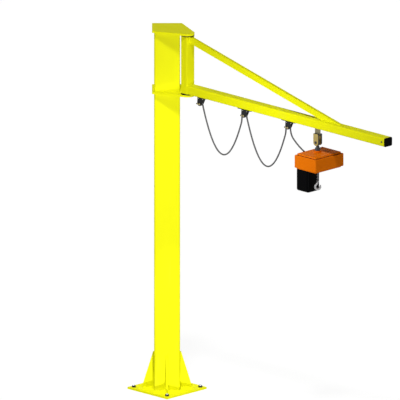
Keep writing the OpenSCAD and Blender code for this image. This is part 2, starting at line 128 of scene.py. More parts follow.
def calc(tree, operation, *values, **settings):
    """What a maths node makes of its values."""
    inputs = dict(enumerate(values))
    return add_node(tree, "ShaderNodeMath", inputs, operation=operation, **settings).outputs[0]


def ramp(tree, value, low, high):
    """0 where the value is at low, 1 where it is at high, and even between them."""
    inputs = {"Value": value, "From Min": low, "From Max": high}
    return add_node(tree, "ShaderNodeMapRange", inputs).outputs[0]


def mix(tree, share, first, second):
    """The first colour, with a share of the second over it."""
    inputs = {"Factor": share, 6: first, 7: second}
    return add_node(tree, "ShaderNodeMix", inputs, data_type="RGBA").outputs[2]


def noise(tree, scale, detail, rough, stretch=None, **more):
    """Noise that is fixed to the piece, and may be drawn out along one axis."""
    place = add_node(tree, "ShaderNodeTexCoord").outputs["Object"]
    if stretch:
        place = add_node(tree, "ShaderNodeVectorMath", {0: place, 1: stretch},
                         operation="MULTIPLY").outputs[0]
    inputs = {"Vector": place, "Scale": scale, "Detail": detail, "Roughness": rough, **more}
    return add_node(tree, "ShaderNodeTexNoise", inputs).outputs["Fac"]


def effect_group(name, inputs, **outputs):
    """An empty node group and its inputs. Inputs come with a first value, outputs with a type."""
    tree = bpy.data.node_groups.new(name, "ShaderNodeTree")
    for key, value in inputs.items():
        kind = FLOAT if isinstance(value, float) else COLOUR
        socket = tree.interface.new_socket(key, in_out="INPUT", socket_type=kind)
        socket.default_value = value
    for key, kind in outputs.items():
        tree.interface.new_socket(key, in_out="OUTPUT", socket_type=kind)
    return tree, tree.nodes.new("NodeGroupInput").outputs


def end_mask(tree, mask, amount):
    """The output of a group that makes a mask."""
    add_node(tree, "NodeGroupOutput", {"Mask": calc(tree, "MULTIPLY", mask, amount)})


def effect(tree, group, **inputs):
    """The outputs of a group placed in a material with that material's own values."""
    return add_node(tree, "ShaderNodeGroup", inputs, node_tree=group).outputs


# Colour that drifts slowly over a surface, as a sprayed coat or a rolled sheet does
drift, given = effect_group("colour_drift", {"Colour": (1, 1, 1, 1), "Scale": 3.0, "Amount": 0.05},
                            Colour=COLOUR)
cloud = noise(drift, given["Scale"], detail=4.0, rough=0.6)
swing = calc(drift, "SUBTRACT", cloud, 0.5)
swing = calc(drift, "MULTIPLY_ADD", swing, given["Amount"], 1.0)
shaded = add_node(drift, "ShaderNodeVectorMath", {0: given["Colour"], "Scale": swing},
                  operation="SCALE")
add_node(drift, "NodeGroupOutput", {"Colour": shaded.outputs[0]})

# Mask of the sharp edges, broken up along their length, for real edge wear and for a painted
# highlight on plastic edges
wear_and_highlight, given = effect_group("edge_wear_and_highlight", {"Radius": 0.003, "Amount": 0.5}, Mask=FLOAT)
rounded = add_node(wear_and_highlight, "ShaderNodeBevel", {"Radius": given["Radius"]}, samples=4)
flat = add_node(wear_and_highlight, "ShaderNodeNewGeometry")
turn = add_node(wear_and_highlight, "ShaderNodeVectorMath",
                {0: rounded.outputs["Normal"], 1: flat.outputs["Normal"]}, operation="DOT_PRODUCT")
edge = ramp(wear_and_highlight, turn.outputs["Value"], low=0.995, high=0.86)
breaks = ramp(wear_and_highlight, noise(wear_and_highlight, scale=45.0, detail=5.0, rough=0.7), low=0.42, high=0.66)
end_mask(wear_and_highlight, calc(wear_and_highlight, "MULTIPLY", edge, breaks), given["Amount"])

# Thin dust that settles on what faces up
dust, given = effect_group("settled_dust", {"Amount": 0.2, "Scale": 14.0}, Mask=FLOAT)
flat = add_node(dust, "ShaderNodeNewGeometry")
faces = add_node(dust, "ShaderNodeSeparateXYZ", {0: flat.outputs["Normal"]})
up = ramp(dust, faces.outputs["Z"], low=0.55, high=1.0)
cloud = ramp(dust, noise(dust, given["Scale"], detail=6.0, rough=0.65), low=0.3, high=0.75)
end_mask(dust, calc(dust, "MULTIPLY", up, cloud), given["Amount"])

# Orange peel of a sprayed coat, or the grain of a mould, as a height
peel, given = effect_group("fine_texture", {"Scale": 300.0, "Depth": 0.0001, "Sharpness": 0.5},
                           Height=FLOAT, Mask=FLOAT)
bumps = noise(peel, given["Scale"], detail=2.0, rough=given["Sharpness"])
add_node(peel, "NodeGroupOutput", {"Height": calc(peel, "MULTIPLY", bumps, given["Depth"]),
                                   "Mask": bumps})

# Fine scratches and rub marks, as a mask
rubbed, given = effect_group("rub_marks", {"Scale": 8.0, "Amount": 0.3}, Mask=FLOAT)
marks = noise(rubbed, given["Scale"], detail=9.0, rough=0.72, stretch=(1.0, 1.0, 0.12),
              Distortion=0.6)
end_mask(rubbed, ramp(rubbed, marks, low=0.56, high=0.74), given["Amount"])


def blank_material(name):
    """A material without nodes, and its node tree."""
    material = bpy.data.materials.new(name)
    material.use_nodes = True
    material.node_tree.nodes.clear()
    return material, material.node_tree


def end_material(tree, colour, rough, height, bump, specular, metallic=0.0):
    """The last nodes of a material: the relief, the surface and the output."""
    relief = add_node(tree, "ShaderNodeBump", {"Strength": bump, "Distance": 1.0, "Height": height})
    skin = add_node(tree, "ShaderNodeBsdfPrincipled", {
        "Base Color": colour, "Roughness": rough, "Normal": relief.outputs[0],
        "Metallic": metallic, "Specular IOR Level": specular})
    add_node(tree, "ShaderNodeOutputMaterial", {0: skin.outputs[0]})


def paler(colour, times, more=0.0):
    """The same colour, lighter."""
    return tuple(min(1, c * times + more) for c in colour[:3]) + (1,)


def sprayed_coat(name, colour, primer, shine, dust_colour, peel_depth):
    """A sprayed coat: orange peel, drifting colour, thin edges, rub marks and settled dust."""
    material, tree = blank_material(name)
    coat = effect(tree, drift, Colour=colour, Scale=2.2, Amount=0.06)[0]
    worn_and_highlit_edges = effect(tree, wear_and_highlight, Radius=0.0022, Amount=0.35)[0]
    marks = effect(tree, rubbed, Scale=5.0, Amount=0.10)[0]
    settled = effect(tree, dust, Scale=9.0, Amount=0.035)[0]
    surface = effect(tree, peel, Scale=420.0, Depth=peel_depth)
    dulled = mix(tree, marks, mix(tree, worn_and_highlit_edges, coat, primer), dust_colour)
    rough = calc(tree, "MULTIPLY_ADD", marks, 1.2, shine)
    rough = calc(tree, "MULTIPLY_ADD", settled, 1.5, rough)
    end_material(tree, mix(tree, settled, dulled, dust_colour), rough, surface["Height"],
                 bump=0.5, specular=0.02)
    return material


def turned_metal(name, colour, shine, stain, metallic=1.0):
    """Bare or plated metal with fine machining marks and a little staining."""
    material, tree = blank_material(name)
    tone = effect(tree, drift, Colour=colour, Scale=30.0, Amount=0.35)[0]
    marks = effect(tree, rubbed, Scale=60.0, Amount=0.5)[0]
    bright = effect(tree, wear_and_highlight, Radius=0.0012, Amount=0.6)[0]
    grain = effect(tree, peel, Scale=1600.0, Depth=0.00004, Sharpness=0.7)
    edged = mix(tree, bright, mix(tree, marks, tone, stain), paler(colour, 1.5))
    rough = calc(tree, "MULTIPLY_ADD", marks, 0.3, shine)
    end_material(tree, edged, rough, grain["Height"], bump=0.6, specular=0.3, metallic=metallic)
    return material


def paint(piece, material):
    """Leaves a piece with this material alone."""
    piece.data.materials.clear()
    piece.data.materials.append(material)


def finish_node(material, *names):
    """Gives carried-over parts their material."""
    for name in names:
        paint(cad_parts[name], material)


def put_on(piece, material, body):
    """Material and body of a new piece."""
    paint(piece, material)
    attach(piece, body)
    return piece


def select_only(piece):
    """Selects one piece and makes it the active one."""
    bpy.ops.object.select_all(action="DESELECT")
    piece.select_set(True)
    bpy.context.view_layer.objects.active = piece


@contextmanager
def editing(piece, kind="VERT", chosen=None):
    """Edit mode with all of a piece selected, or only its chosen corners, edges or faces."""
    select_only(piece)
    bpy.ops.object.mode_set(mode="EDIT")
    bpy.ops.mesh.select_mode(type=kind)
    bpy.ops.mesh.select_all(action="DESELECT" if chosen else "SELECT")
    if chosen:
        bpy.ops.object.mode_set(mode="OBJECT")
        mesh = piece.data
        for item in {"VERT": mesh.vertices, "EDGE": mesh.edges, "FACE": mesh.polygons}[kind]:
            item.select = chosen(item)
        bpy.ops.object.mode_set(mode="EDIT")
    yield
    bpy.ops.object.mode_set(mode="OBJECT")


def smooth(piece, degrees=35):
    """Shades a piece smooth, apart from its sharper edges."""
    select_only(piece)
    bpy.ops.object.shade_smooth_by_angle(angle=math.radians(degrees))


def tidy_faces():
    """Closes doubled corners and turns the faces outward, in edit mode."""
    bpy.ops.mesh.remove_doubles(threshold=1e-6)
    bpy.ops.mesh.normals_make_consistent(inside=False)


def set_down(piece, centre, axis=(0, 0, 1), turn=0.0):
    """Moves a mesh made at the origin to its place, with its own Z along the axis."""
    lay = Vector(axis).to_track_quat("Z", "Y").to_matrix().to_4x4() @ Matrix.Rotation(turn, 4, "Z")
    piece.data.transform(Matrix.Translation(centre) @ lay)
    return piece


def primitive(add, name, **sizes):
    """A plain solid from one of the mesh operators, with its place and turn in its mesh."""
    add(**sizes)
    piece = bpy.context.object
    piece.name = piece.data.name = name
    piece.data.transform(piece.matrix_world)
    piece.matrix_world = Matrix.Identity(4)
    return piece


def turned(name, profile, steps=32):
    """A part turned from bar: its half profile, as (radius, height) pairs, spun round Z."""
    mesh = bpy.data.meshes.new(name)
    mesh.from_pydata([(r, 0, h) for r, h in profile],
                     [(i, i + 1) for i in range(len(profile) - 1)], [])
    piece = add_to_scene(name, mesh)
    with editing(piece):
        bpy.ops.mesh.spin(steps=steps, angle=math.tau, center=(0, 0, 0), axis=(0, 0, 1))
        bpy.ops.mesh.select_all(action="SELECT")
        tidy_faces()
    smooth(piece)
    return piece


def cut(piece, tool, operation):
    """Cuts a piece with another, which is used up."""
    select_only(piece)
    bite = piece.modifiers.new("cut", "BOOLEAN")
    bite.operation, bite.object, bite.solver = operation, tool, "EXACT"
    bpy.ops.object.modifier_apply(modifier=bite.name)
    bpy.data.objects.remove(tool, do_unlink=True)


def hexagon(name, across, height):
    """A hexagon nut or head with both faces chamfered, standing on z = 0."""
    nut = primitive(bpy.ops.mesh.primitive_cylinder_add, name, vertices=6,
                    radius=across / math.sqrt(3), depth=height, location=(0, 0, height / 2))
    flat_r, outer_r, chamfer = across * 0.47, across * 0.6, across * 0.06
    blank = turned("blank", [(0, 0), (flat_r, 0), (outer_r, chamfer), (outer_r, height - chamfer),
                             (flat_r, height), (0, height)], steps=48)
    cut(nut, blank, "INTERSECT")
    smooth(nut)
    return nut


def join(name, pieces):
    """Several meshes made one piece."""
    select_only(pieces[0])
    for piece in pieces:
        piece.select_set(True)
    bpy.ops.object.join()
    pieces[0].name = pieces[0].data.name = name
    return pieces[0]


def threaded_end(name, diameter, length, pitch):
    """The end of a stud: grooves of the thread, and a chamfered tip, standing on z = 0."""
    r, deep = diameter / 2, pitch * 0.3
    profile = [(0, 0), (r - deep, 0)]
    for i in range(int((length - STUD_CHAMFER) / pitch)):
        profile += [(r, pitch * (i + 0.35)), (r, pitch * (i + 0.65)), (r - deep, pitch * (i + 1))]
    profile += [(r - deep, length - STUD_CHAMFER), (r - deep - STUD_CHAMFER, length), (0, length)]
    return turned(name, profile, steps=24)


yellow_coat = sprayed_coat("yellow_top_coat", (0.93, 0.925, 0.006, 1), shine=0.46,
                           primer=(0.55, 0.53, 0.10, 1), dust_colour=(0.66, 0.64, 0.16, 1),
                           peel_depth=0.00012)
zinc_plate = turned_metal("zinc_plated_steel", (0.62, 0.64, 0.66, 1), shine=0.34,
                          stain=(0.30, 0.30, 0.31, 1))
black_oxide = turned_metal("black_oxide_steel", (0.045, 0.046, 0.05, 1), shine=0.42,
                           stain=(0.09, 0.085, 0.08, 1), metallic=0.6)

finish_node(yellow_coat, "base_plate")
for corner, (sx, sy) in ANCHOR_CORNERS.items():
    at = Vector((sx * ANCHOR_AT, sy * ANCHOR_AT, PLATE_TOP))
    washer = turned("anchor_washer_" + corner, [
        (WASHER_BORE_R, 0), (WASHER_D / 2, 0), (WASHER_D / 2, WASHER_T - WASHER_CHAMFER),
        (WASHER_D / 2 - WASHER_CHAMFER, WASHER_T), (WASHER_BORE_R + WASHER_CHAMFER, WASHER_T),
        (WASHER_BORE_R, WASHER_T - WASHER_CHAMFER), (WASHER_BORE_R, 0)], steps=48)
    put_on(set_down(washer, at), black_oxide, "stand")
    nut = hexagon("anchor_nut_" + corner, NUT_ACROSS, NUT_H)
    set_down(nut, at + Vector((0, 0, WASHER_T)), turn=0.4 * sx + 0.9 * sy)
    put_on(nut, black_oxide, "stand")
    stud = threaded_end("anchor_stud_" + corner, ANCHOR_D,
                        PLATE_TOP + WASHER_T + NUT_H + STUD_ABOVE, THREAD_PITCH)
    put_on(set_down(stud, at - Vector((0, 0, PLATE_TOP))), zinc_plate, "stand")

# -------- column and gussets
# A square tube with round corners stands on the plate, held by four cut gussets.
# Fillet welds run round its foot and along both sides of each gusset.

COLUMN_W = 0.260
COLUMN_R = 0.018
GUSSET_T = 0.020
GUSSET_FOOT = 0.117
GUSSET_H = 0.370
WELD_R = 0.0042
WELD_OFF = 0.0005
RIPPLE_STEP = 0.0028
BEAD_GAP = 0.002
BEAD_CORNER = 0.004
BEAD_TOP_GAP = 0.003


def swept(name, line, radii, depth, detail, closed=False, bezier=False):
    """A round bar along a line of points, as a mesh. A bezier bar is left open at its ends."""
    curve = bpy.data.curves.new(name, "CURVE")
    curve.dimensions, curve.resolution_u = "3D", 4
    curve.bevel_depth, curve.bevel_resolution = depth, detail
    curve.use_fill_caps = not (closed or bezier)
    spline = curve.splines.new("BEZIER" if bezier else "POLY")
    points = spline.bezier_points if bezier else spline.points
    points.add(len(line) - 1)
    spline.use_cyclic_u = closed
    for point, at, radius in zip(points, line, radii):
        point.co, point.radius = at if bezier else (*at, 1), radius
        if bezier:
            point.handle_left_type = point.handle_right_type = "AUTO"
    select_only(add_to_scene(name, curve))
    bpy.ops.object.convert(target="MESH")
    return bpy.context.object


def weld_bead(name, points, radius=WELD_R, closed=False):
    """A welded bead along a line: a rippled rope of metal, its ripples one behind the other."""
    stops = [Vector(p) for p in list(points) + ([points[0]] if closed else [])]
    line, along = [], 0.0
    for a, b in zip(stops, stops[1:]):
        count = max(2, round((b - a).length / RIPPLE_STEP))
        for i in range(count):
            line.append((a.lerp(b, i / count), along + (b - a).length * i / count))
        along += (b - a).length
    if not closed:
        line.append((stops[-1], along))
    radii = [1 + 0.16 * abs(math.sin(s * math.pi / (2 * RIPPLE_STEP))) + 0.06 * math.sin(s * 37)
             for _, s in line]
    bead = swept(name, [at for at, _ in line], radii, depth=radius, detail=1, closed=closed)
    with editing(bead):
        tidy_faces()
    smooth(bead, 60)
    return bead


def weld_round_column(name, z):
    """A closed bead on a ring round the column, at a height."""
    side = COLUMN_W + 2 * WELD_OFF
    ring = []
    for k in range(4):
        corner = Vector((side / 2 - COLUMN_R, side / 2 - COLUMN_R, 0))
        for i in range(6):
            a = math.pi / 2 * i / 5
            p = corner + Vector((COLUMN_R * math.cos(a), COLUMN_R * math.sin(a), 0))
            turn = Matrix.Rotation(math.pi / 4 + k * math.pi / 2, 3, "Z")
            ring.append(turn @ p + Vector((0, 0, z)))
    put_on(weld_bead(name, ring, closed=True), yellow_coat, "stand")


finish_node(yellow_coat, "column", "gusset_front", "gusset_right", "gusset_back", "gusset_left")
weld_round_column("column_foot_weld", PLATE_TOP + WELD_OFF)
for side, bearing in {"front": -45, "right": 45, "back": 135, "left": -135}.items():
    beads = []
    for s in (-1, 1):
        toe, top = GUSSET_FOOT - BEAD_GAP, GUSSET_H - BEAD_TOP_GAP
        y = s * (GUSSET_T / 2 + WELD_OFF)
        beads.append(weld_bead("bead", [
            (COLUMN_W / 2 + out, y, PLATE_TOP + up) for out, up in
            ((toe, WELD_OFF), (BEAD_CORNER, WELD_OFF), (WELD_OFF, BEAD_CORNER), (WELD_OFF, top))]))
    bead = join("gusset_weld_" + side, beads)
    bead.data.transform(Matrix.Rotation(math.radians(bearing), 4, "Z"))
    put_on(bead, yellow_coat, "stand")

# -------- brackets, bearings and pivot pins
# Two cut plates are welded to the column, one on its top and one round it. Each
# carries a plastic thrust washer and a steel pin, on which the post turns.

DUST_TONE = (0.20, 0.19, 0.17, 1)


def moulded_plastic(name, colour, shine, grain, specular=0.05, dust_share=0.12, edge=0.012):
    """Moulded plastic: a fine grain, a slow drift of tone, paler edges that are partly rubbing and
    partly a painted highlight, and settled dust.
    """
    material, tree = blank_material(name)
    tone = effect(tree, drift, Colour=colour, Scale=6.0, Amount=0.25)[0]
    worn_and_highlit_edges = effect(tree, wear_and_highlight, Radius=0.002, Amount=0.5)[0]
    settled = effect(tree, dust, Scale=16.0, Amount=dust_share)[0]
    surface = effect(tree, peel, Scale=1400.0, Depth=grain, Sharpness=0.6)
    # Paler edges: rubbed plastic, and where the edge value is large, a painted highlight along the
    # edges
    edged = mix(tree, worn_and_highlit_edges, tone, paler(colour, 2.2, edge))
    rough = calc(tree, "MULTIPLY_ADD", surface["Mask"], 0.12, shine)
    end_material(tree, mix(tree, settled, edged, DUST_TONE), rough, surface["Height"],
                 bump=0.6, specular=specular)
    return material


bearing_plastic = moulded_plastic("bearing_plastic", (0.010, 0.010, 0.011, 1), shine=0.42,
                                  grain=0.00003)
pin_steel = turned_metal("turned_pin_steel", (0.52, 0.53, 0.55, 1), shine=0.28,
                         stain=(0.22, 0.20, 0.17, 1))

finish_node(yellow_coat, "upper_bracket", "lower_bracket")
finish_node(bearing_plastic, "upper_bearing", "lower_bearing")
finish_node(pin_steel, "upper_pivot_pin", "lower_pivot_pin")
weld_round_column("upper_bracket_weld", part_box("upper_bracket")[0].z - WELD_OFF)
weld_round_column("lower_bracket_weld_below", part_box("lower_bracket")[0].z - WELD_OFF)
weld_round_column("lower_bracket_weld_above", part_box("lower_bracket")[1].z + WELD_OFF)

# -------- post, arm and tie
# The post, the hollow rail and the tie bar are welded into one frame. The rail
# is a rolled profile with a slot below, between two lips that the wheels run on.

POST_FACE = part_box("arm_rail")[0].x
RAIL_W = 0.108
RAIL_R = 0.014
RAIL_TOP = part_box("arm_rail")[1].z
RAIL_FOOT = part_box("arm_rail")[0].z
RAIL_WELD_R = 0.0036
RAIL_WELD_SINK = 0.001
TIE_T = 0.032
TIE_H = 0.065
TIE_TIP_GAP = 0.012

tie_low, tie_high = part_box("tie_bar")
tie_fall = (tie_high.z - tie_low.z) / (tie_high.x - tie_low.x)
tie_depth = TIE_H * math.hypot(1, tie_fall)
tie_heel = POST_FACE + (tie_high.z - tie_depth - RAIL_TOP) / tie_fall

finish_node(yellow_coat, "post", "arm_rail", "tie_bar")
rail_outline = []
for k, (sy, z) in enumerate([(1, RAIL_TOP - RAIL_R), (-1, RAIL_TOP - RAIL_R),
                             (-1, RAIL_FOOT + RAIL_R), (1, RAIL_FOOT + RAIL_R)]):
    for i in range(5):
        a = math.pi / 2 * (k + i / 4)
        rail_outline.append((POST_FACE + RAIL_WELD_SINK,
                             sy * (RAIL_W / 2 - RAIL_R) + (RAIL_R - RAIL_WELD_SINK) * math.cos(a),
                             z + (RAIL_R - RAIL_WELD_SINK) * math.sin(a)))
put_on(weld_bead("rail_to_post_weld", rail_outline, radius=RAIL_WELD_R, closed=True),
       yellow_coat, "jib")
beads = []
for s in (-1, 1):
    y = s * (TIE_T / 2 + WELD_OFF)
    x, z = POST_FACE + WELD_OFF, RAIL_TOP + WELD_OFF
    beads.append(weld_bead("bead", [(x, y, tie_high.z - BEAD_GAP),
                                    (x, y, tie_high.z - tie_depth + BEAD_GAP)]))
    beads.append(weld_bead("bead", [(tie_heel + BEAD_CORNER, y, z),
                                    (tie_high.x - TIE_TIP_GAP, y, z)]))
put_on(join("tie_welds", beads), yellow_coat, "jib")

# -------- rail end
# A moulded black cap closes the rail, and a cross bolt through its side walls
# holds the rubber sleeve that stops the trolley.

BOLT_HEAD = 0.011
BOLT_HEAD_H = 0.0064
BOLT_D = 0.010
BOLT_TAIL = 0.0125
BOLT_PITCH = 0.0015
BOLT_RING_T = 0.0018
# Black plastic gets strongly paler edges: a painted highlight along its rounded edges and corners
black_plastic = moulded_plastic("black_moulded_plastic", (0.002, 0.002, 0.0024, 1), shine=0.34,
                                grain=0.00003, specular=0.015, dust_share=0.02, edge=0.09)
stop_rubber = moulded_plastic("stop_rubber", (0.012, 0.012, 0.012, 1), shine=0.62,
                              grain=0.00008, specular=0.08)

finish_node(black_plastic, "rail_end_cap")
finish_node(stop_rubber, "end_stop")
stop_low, stop_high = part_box("end_stop")
stop_at = (stop_low + stop_high) / 2
for end, s in {"head": -1, "nut": 1}.items():
    ring = turned("ring", [(0, 0), (BOLT_D, 0), (BOLT_D, BOLT_RING_T - 0.0006),
                           (BOLT_D - 0.0005, BOLT_RING_T), (0, BOLT_RING_T)])
    grip = hexagon("grip", BOLT_HEAD, BOLT_HEAD_H)
    grip.data.transform(Matrix.Translation((0, 0, BOLT_RING_T)))
    parts = [ring, grip]
    if end == "nut":
        parts.append(threaded_end("tail", BOLT_D, BOLT_TAIL, BOLT_PITCH))
    bolt = join("end_stop_bolt_" + end, parts)
    set_down(bolt, (stop_at.x, s * RAIL_W / 2, stop_at.z), axis=(0, s, 0))
    put_on(bolt, black_oxide, "jib")

# -------- cable sliders
# Pressed black plates under the rail, each with two cheeks and a round saddle.
# The first is keyed to the rail, and the others run inside it on four wheels.

CLAMPS = {"end_clamp": (0.490, "jib"), "inner_slider": (1.112, "inner_slider"),
          "outer_slider": (1.734, "outer_slider")}
SADDLE_DX = -0.021
SADDLE_DROP = 0.080
CHEEK_OUT = 0.015
SCREW_D = 0.016
SCREW_L = 0.034
SCREW_PITCH = 0.00175
KNOB_D = 0.014
KNOB_L = 0.012
KNOB_SIDES = 36
EAR_T = 0.004
EAR_SINK = 0.0005
EARS_AT = (0.011, 0.020)
STUD_DX = 0.030
STUD_DROP = 0.014
PLATE_BOLT_DX = 0.080

slider_black = sprayed_coat("black_stoved_coat", (0.012, 0.012, 0.012, 1), shine=0.40,
                            primer=(0.09, 0.085, 0.08, 1), dust_colour=(0.10, 0.095, 0.085, 1),
                            peel_depth=0.00006)
slider_grey = sprayed_coat("dark_grey_coat", (0.035, 0.036, 0.038, 1), shine=0.40,
                           primer=(0.16, 0.155, 0.15, 1), dust_colour=(0.15, 0.145, 0.13, 1),
                           peel_depth=0.00006)
yellow_zinc = turned_metal("yellow_passivated_zinc", (0.66, 0.57, 0.30, 1), shine=0.34,
                           stain=(0.34, 0.26, 0.12, 1), metallic=0.4)
wheel_steel = turned_metal("wheel_steel", (0.20, 0.20, 0.21, 1), shine=0.32,
                           stain=(0.08, 0.075, 0.07, 1))


def knurled_knob(name, diameter, length):
    """A round knob with a straight knurl and round ends, standing on z = 0."""
    knob = primitive(bpy.ops.mesh.primitive_cylinder_add, name, vertices=KNOB_SIDES,
                     radius=diameter / 2, depth=length, location=(0, 0, length / 2))

    def groove(face):
        around = math.atan2(face.center.y, face.center.x) / math.tau * KNOB_SIDES
        return abs(face.normal.z) < 0.5 and math.floor(around + 0.001) % 2 == 0

    def end(face):
        return abs(face.normal.z) > 0.9 and face.area > diameter ** 2 * 0.3

    with editing(knob, "FACE", groove):
        bpy.ops.mesh.inset(thickness=diameter * 0.012, use_individual=True)
        bpy.ops.transform.shrink_fatten(value=-diameter * 0.045)
    with editing(knob, "FACE", end):
        bpy.ops.mesh.inset(thickness=diameter * 0.12)
        bpy.ops.mesh.extrude_region_shrink_fatten(
            TRANSFORM_OT_shrink_fatten={"value": diameter * 0.05})
    smooth(knob)
    return knob


def clamp_ear(name, reach, width):
    """A pressed ear that leaves the cheek along -Y and wraps the clamping screw."""
    ear = primitive(bpy.ops.mesh.primitive_cube_add, name, size=1, location=(0, 0, 0))
    ear.data.transform(Matrix.Translation((0, -reach / 2, 0))
                       @ Matrix.Diagonal((EAR_T, reach, width, 1)))

    def far_corner(edge):
        a, b = (ear.data.vertices[i].co for i in edge.vertices)
        return abs(a.x - b.x) > EAR_T * 0.75 and a.y < -reach * 0.9

    with editing(ear, "EDGE", far_corner):
        bpy.ops.mesh.bevel(offset=width * 0.46, segments=8, affect="EDGES")
    smooth(ear)
    return ear


for clamp, (x, body) in CLAMPS.items():
    plate_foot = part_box(clamp + "_plate")[0].z
    screw_low, screw_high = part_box(clamp + "_screw")
    screw_y = (screw_low.y + screw_high.y) / 2
    screw_z = (screw_low.z + screw_high.z) / 2
    finish_node(slider_black, clamp + "_plate")
    finish_node(slider_grey, clamp + "_saddle")

    shank = threaded_end("shank", SCREW_D * 0.75, SCREW_L, SCREW_PITCH)
    nut = hexagon("nut", SCREW_D * 0.98, 0.007)
    nut.data.transform(Matrix.Translation((0, 0, 0.002)))
    collar = turned("collar", [(0, 0.022), (SCREW_D / 2, 0.022), (SCREW_D / 2, 0.031),
                               (SCREW_D / 2 - 0.001, 0.032), (0, 0.032)])
    screw = join(clamp + "_clamping_screw", [shank, nut, collar])
    set_down(screw, (screw_high.x, screw_y, screw_z), axis=(-1, 0, 0))
    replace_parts(put_on(screw, yellow_zinc, body), clamp + "_screw")
    knob = knurled_knob(clamp + "_knob", KNOB_D, KNOB_L)
    set_down(knob, (screw_low.x + KNOB_L, screw_y, screw_z), axis=(-1, 0, 0))
    put_on(knob, black_plastic, body)
    ears = []
    for dx in EARS_AT:
        ear = clamp_ear("ear", -CHEEK_OUT - screw_y + SCREW_D / 2, SCREW_D + 0.004)
        root = (screw_high.x - dx, EAR_SINK - CHEEK_OUT, screw_z)
        ear.data.transform(Matrix.Translation(root))
        ears.append(ear)
    put_on(join(clamp + "_ears", ears), slider_grey, body)

    rivets = []
    for s in (-1, 1):
        dome = turned("dome", [(0, 0), (0.0075, 0), (0.0072, 0.0016), (0.0052, 0.0034),
                               (0.0024, 0.0043), (0, 0.0045)])
        rivets.append(set_down(dome, (x + SADDLE_DX, s * CHEEK_OUT, RAIL_FOOT - SADDLE_DROP),
                               axis=(0, s, 0)))
        for dx in (-STUD_DX, STUD_DX):
            stud = turned("stud", [(0, 0), (0.0042, 0), (0.0040, 0.0012), (0.0022, 0.0024),
                                   (0, 0.0026)], steps=20)
            rivets.append(set_down(stud, (x + dx, s * CHEEK_OUT, plate_foot - STUD_DROP),
                                   axis=(0, s, 0)))
    for dx in (-PLATE_BOLT_DX, PLATE_BOLT_DX):
        head = hexagon("head", 0.013, 0.0053)
        rivets.append(set_down(head, (x + dx, 0, plate_foot), axis=(0, 0, -1)))
    put_on(join(clamp + "_fixings", rivets), zinc_plate, body)
    if clamp != "end_clamp":
        finish_node(wheel_steel, clamp + "_wheels")

# -------- power cable
# Round rubber-sheathed cable, 16 mm thick. It hangs in a loop before each
# slider, lies over their saddles and drops to the hoist.

CABLE_D = 0.016
CABLE_SIDES = 16
LOOP_START = [490, 1112, 1734]
LOOP_MID = 300
LOOP_LOW = 2587
LOOP_K = 0.0056
LOOP_OUT = [288, 277, 265, 252, 238, 223, 207, 190, 172, 152, 130, 105, 75, 40, 0]
LOOP_BACK = [40, 75, 105, 130, 152, 172, 190, 207, 223, 238, 252, 263]
FIRST_LEAD = [[475, 3079], [484, 3076], [495, 3066]]
UP_TO_SADDLE = [[569, 3022], [570, 3050], [575, 3067]]
OVER_SADDLE = [[-36, 3076], [-21, 3080], [-6, 3076], [5, 3066]]
LAST_DROP = [[1743, 3048], [1748, 3016], [1759, 2983], [1778, 2954], [1806, 2928], [1838, 2903],
             [1872, 2880], [1906, 2860], [1938, 2843], [1954, 2834], [1965, 2833]]
BOOT_BACK = 0.012


def cable_route():
    """The centre line from the fixed clamp to the gland, from millimetres to metres."""
    route = list(FIRST_LEAD)
    for start, following in zip(LOOP_START, LOOP_START[1:]):
        offsets = [-o for o in LOOP_OUT] + LOOP_BACK
        route += [[start + LOOP_MID + o, LOOP_LOW + LOOP_K * o * o] for o in offsets]
        route += [[start + x, z] for x, z in UP_TO_SADDLE]
        route += [[following + x, z] for x, z in OVER_SADDLE]
    return [Vector((x / 1000, 0, z / 1000)) for x, z in route + LAST_DROP]


def tube_along(name, route, radii, sides):
    """A tube with closed ends on a smooth curve through a route, and its rings' middles."""
    tube = swept(name, route, radii, depth=1.0, detail=sides // 2 - 2, bezier=True)
    spots = [v.co.copy() for v in tube.data.vertices]
    middles = [sum(spots[i:i + sides], Vector()) / sides for i in range(0, len(spots), sides)]
    travelled = [0.0]
    for a, b in zip(middles, middles[1:]):
        travelled.append(travelled[-1] + (b - a).length)
    along = [travelled[i // sides] for i in range(len(spots))]
    around = [math.sin(math.tau * (i % sides) / sides) for i in range(len(spots))]
    for fact, values in {"along": along, "around": around}.items():
        tube.data.attributes.new(fact, "FLOAT", "POINT").data.foreach_set("value", values)
    with editing(tube):
        bpy.ops.mesh.fill_holes(sides=0)
        bpy.ops.mesh.normals_make_consistent(inside=False)
    smooth(tube, 50)
    return tube, middles


def sheath_rubber(name, colour, shine):
    """Extruded rubber: lines along the cable, faint rings from the laid cores, chalky patches."""
    material, tree = blank_material(name)
    along = add_node(tree, "ShaderNodeAttribute", attribute_name="along").outputs["Fac"]
    around = add_node(tree, "ShaderNodeAttribute", attribute_name="around").outputs["Fac"]
    lay = calc(tree, "MULTIPLY_ADD", along, 26.0, calc(tree, "MULTIPLY", around, 0.55))
    wave = calc(tree, "SINE", calc(tree, "MULTIPLY", lay, math.tau))
    across = add_node(tree, "ShaderNodeCombineXYZ", {0: along, 1: around})
    lines = add_node(tree, "ShaderNodeVectorMath", {0: across.outputs[0], 1: (3.0, 40.0, 1.0)},
                     operation="MULTIPLY")
    lines = add_node(tree, "ShaderNodeTexNoise", {"Vector": lines.outputs[0], "Scale": 1.0,
                                                  "Detail": 3.0}).outputs["Fac"]
    chalk = effect(tree, rubbed, Scale=22.0, Amount=0.5)[0]
    tone = effect(tree, drift, Colour=colour, Scale=7.0, Amount=0.3)[0]
    height = calc(tree, "MULTIPLY", wave, 0.00010)
    height = calc(tree, "MULTIPLY_ADD", lines, 0.00012, height)
    end_material(tree, mix(tree, chalk, tone, paler(colour, 1.9)),
                 calc(tree, "MULTIPLY_ADD", lines, 0.2, shine), height, bump=0.8, specular=0.3)
    return material


